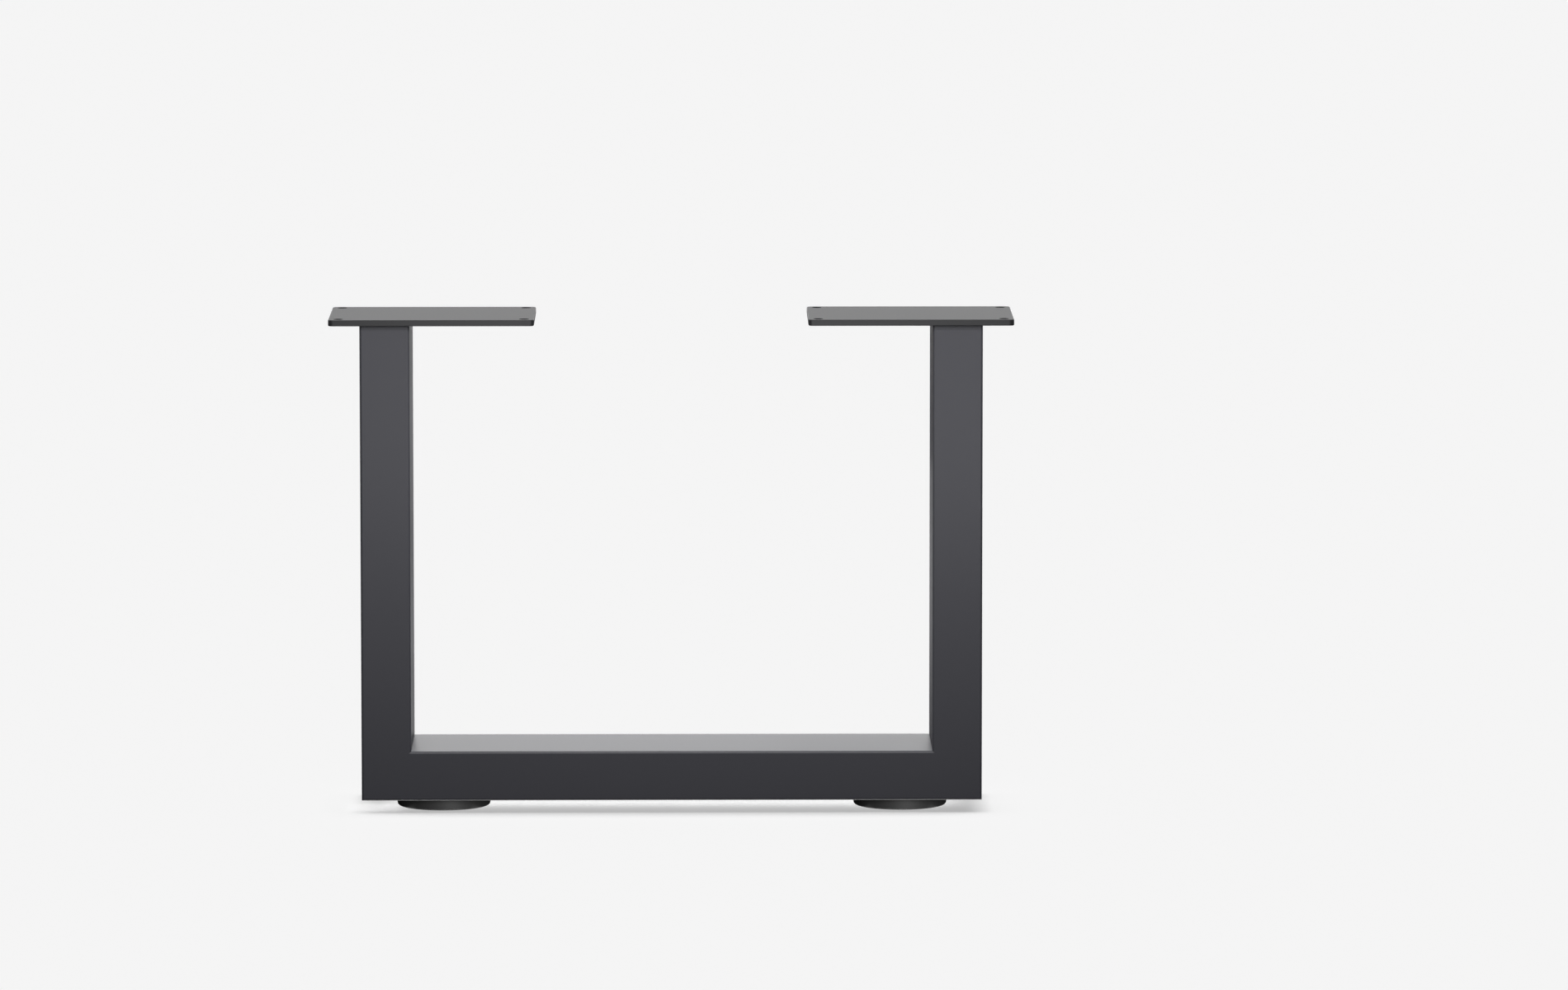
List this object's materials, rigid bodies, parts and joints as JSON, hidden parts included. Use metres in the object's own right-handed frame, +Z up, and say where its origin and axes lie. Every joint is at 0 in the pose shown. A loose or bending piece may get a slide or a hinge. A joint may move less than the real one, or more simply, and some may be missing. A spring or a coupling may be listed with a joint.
{
  "type": "u shaped table leg",
  "caption": "U shaped steel tube leg for a coffee table or bench, with a flat screw-on plate on top of each post and round rubber pads under the beam.",
  "frame": {"origin": "on the floor, under the middle of the beam, at the bottom centre of the leg", "axes": "+X along the beam towards the right post, +Y through the depth of the leg away from the picture's camera, +Z up"},
  "size_m": [0.55, 0.11, 0.4],
  "materials": {
    "powder_coat": "satin anthracite powder coat on steel",
    "pad_rubber": "moulded black rubber",
    "zinc_plate": "bright zinc plated steel"
  },
  "bodies": {
    "root": {"bottom_beam": "powder_coat", "left_post": "powder_coat", "right_post": "powder_coat", "left_top_plate": "powder_coat", "right_top_plate": "powder_coat", "left_foot_pad": "pad_rubber", "right_foot_pad": "pad_rubber", "left_foot_washer": "zinc_plate", "right_foot_washer": "zinc_plate", "left_foot_screw": "zinc_plate", "right_foot_screw": "zinc_plate", "left_rivet_nut": "zinc_plate", "right_rivet_nut": "zinc_plate"}
  },
  "joints": []
}
